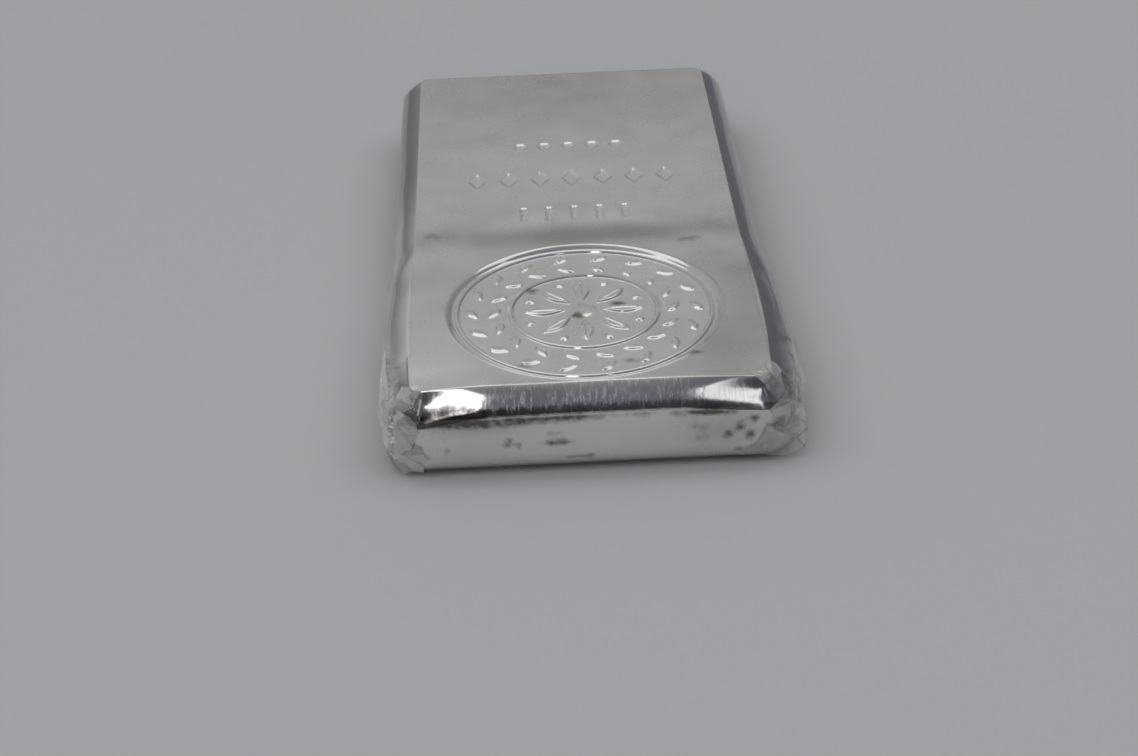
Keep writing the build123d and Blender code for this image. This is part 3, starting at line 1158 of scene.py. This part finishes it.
# %% [markdown]
# ## The floor
# The bar lies on a plain sheet of matte grey paper. It is wide enough to run past the picture, and
# it lies a hair under the film, so that the two never flicker in one plane.

# %% Floor
floor_width = 6.0
floor_drop = 0.02 * MM
bpy.ops.object.select_all(action="DESELECT")
bpy.ops.mesh.primitive_plane_add(size=floor_width, location=(0, 0, -floor_drop))
floor = bpy.context.object
floor.name = "grey_sheet"
paper = new_material("grey_paper")
tree = paper.node_tree
matte = add_node(tree, "ShaderNodeBsdfPrincipled", {"Base Color": hex_colour("#A9AAAC"), "Roughness": 0.9})
add_node(tree, "ShaderNodeOutputMaterial", {"Surface": matte})
floor.data.materials.append(paper)
print("floor", [round(side, 2) for side in floor.dimensions])

# %% [markdown]
# ## The light
# Metal shows its surroundings, so its light is built from what it mirrors. Two narrow soft boxes
# beside the camera make the two highlights of the near edge, and the dark room between and behind
# them makes its dark band. One overhead box draws the pale lines of the relief. Three larger panels
# light the paper and the film, and the metal doesn't mirror them.

# %% Lamps


def soft_box(name, aside, height, distance, size, power):
    """A flat lamp aimed at the bar. Its way leans aside from the near side, and then up, in degrees."""
    lamp = bpy.data.lights.new(name, "AREA")
    lamp.shape = "RECTANGLE"
    lamp.size = size[0]
    lamp.size_y = size[1]
    lamp.energy = power
    holder = bpy.data.objects.new(name, lamp)
    bpy.context.scene.collection.objects.link(holder)
    lean = math.radians(aside)
    rise = math.radians(height)
    way = Vector((math.sin(lean), -math.cos(lean) * math.cos(rise), math.cos(lean) * math.sin(rise)))
    holder.location = way * distance
    holder.rotation_euler = way.to_track_quat("Z", "Y").to_euler()
    return holder


# Each lamp: its name, its two angles, its distance and size in metres, its watts, and if metal mirrors it
panel_size = (1.4, 1.4)
lamps = (
    ("left_soft_box", -11.8, 57, 1.4, (0.13, 0.68), 0.7, True),
    ("right_soft_box", 15.5, 57, 1.4, (0.10, 0.38), 0.15, True),
    ("top_soft_box", 0, 111, 1.5, (2.0, 0.8), 3.3, True),
    ("left_side_panel", -28, 90, 1.7, panel_size, 8.2, False),
    ("right_side_panel", 28, 90, 1.7, panel_size, 7.4, False),
    ("low_front_panel", -12, 30, 1.7, panel_size, 7.5, False),
)
for *lamp, mirrored in lamps:
    soft_box(*lamp).visible_glossy = mirrored
print("lamps", [lamp[0] for lamp in lamps])

# %% [markdown]
# ## The room
# The rest of the room is what the top face and the film mirror: pale overhead and dark elsewhere. A
# colour ramp over the angle to the brightest way is enough for that, and needs no picture of a room.

# %% The room around
bright_way = Vector((-0.17, 0.60, 0.78))
# How far round to the brightest way, from 0 for straight away from it to 1, and the tone there
tones = (
    (0.0, (0.05, 0.05, 0.055)), (0.50, (0.045, 0.045, 0.05)), (0.61, (0.06, 0.06, 0.07)),
    (0.67, (0.14, 0.14, 0.175)), (0.76, (0.155, 0.155, 0.185)), (0.83, (0.20, 0.20, 0.21)),
    (0.90, (0.38, 0.38, 0.38)), (0.97, (0.42, 0.42, 0.42)), (1.0, (0.48, 0.48, 0.48)),
)
world = bpy.data.worlds.new("studio")
bpy.context.scene.world = world
world.use_nodes = True
tree = world.node_tree
tree.nodes.clear()
way = add_node(tree, "ShaderNodeTexCoord", (), out="Generated")
likeness = add_node(tree, "ShaderNodeVectorMath", (way, bright_way), out="Value", operation="DOT_PRODUCT")
share = add_node(tree, "ShaderNodeMath", (likeness, 0.5, 0.5), operation="MULTIPLY_ADD")
ramp = add_node(tree, "ShaderNodeValToRGB", [share])
stops = ramp.node.color_ramp.elements
while len(stops) < len(tones):
    stops.new(0.5)
for stop, (position, tone) in zip(stops, tones):
    stop.position = position
    stop.color = (*tone, 1)
backdrop = add_node(tree, "ShaderNodeBackground", {"Color": ramp, "Strength": 1.0})
add_node(tree, "ShaderNodeOutputWorld", {"Surface": backdrop})
bpy.context.scene.view_settings.view_transform = "Standard"
print("room", len(stops), "tones")
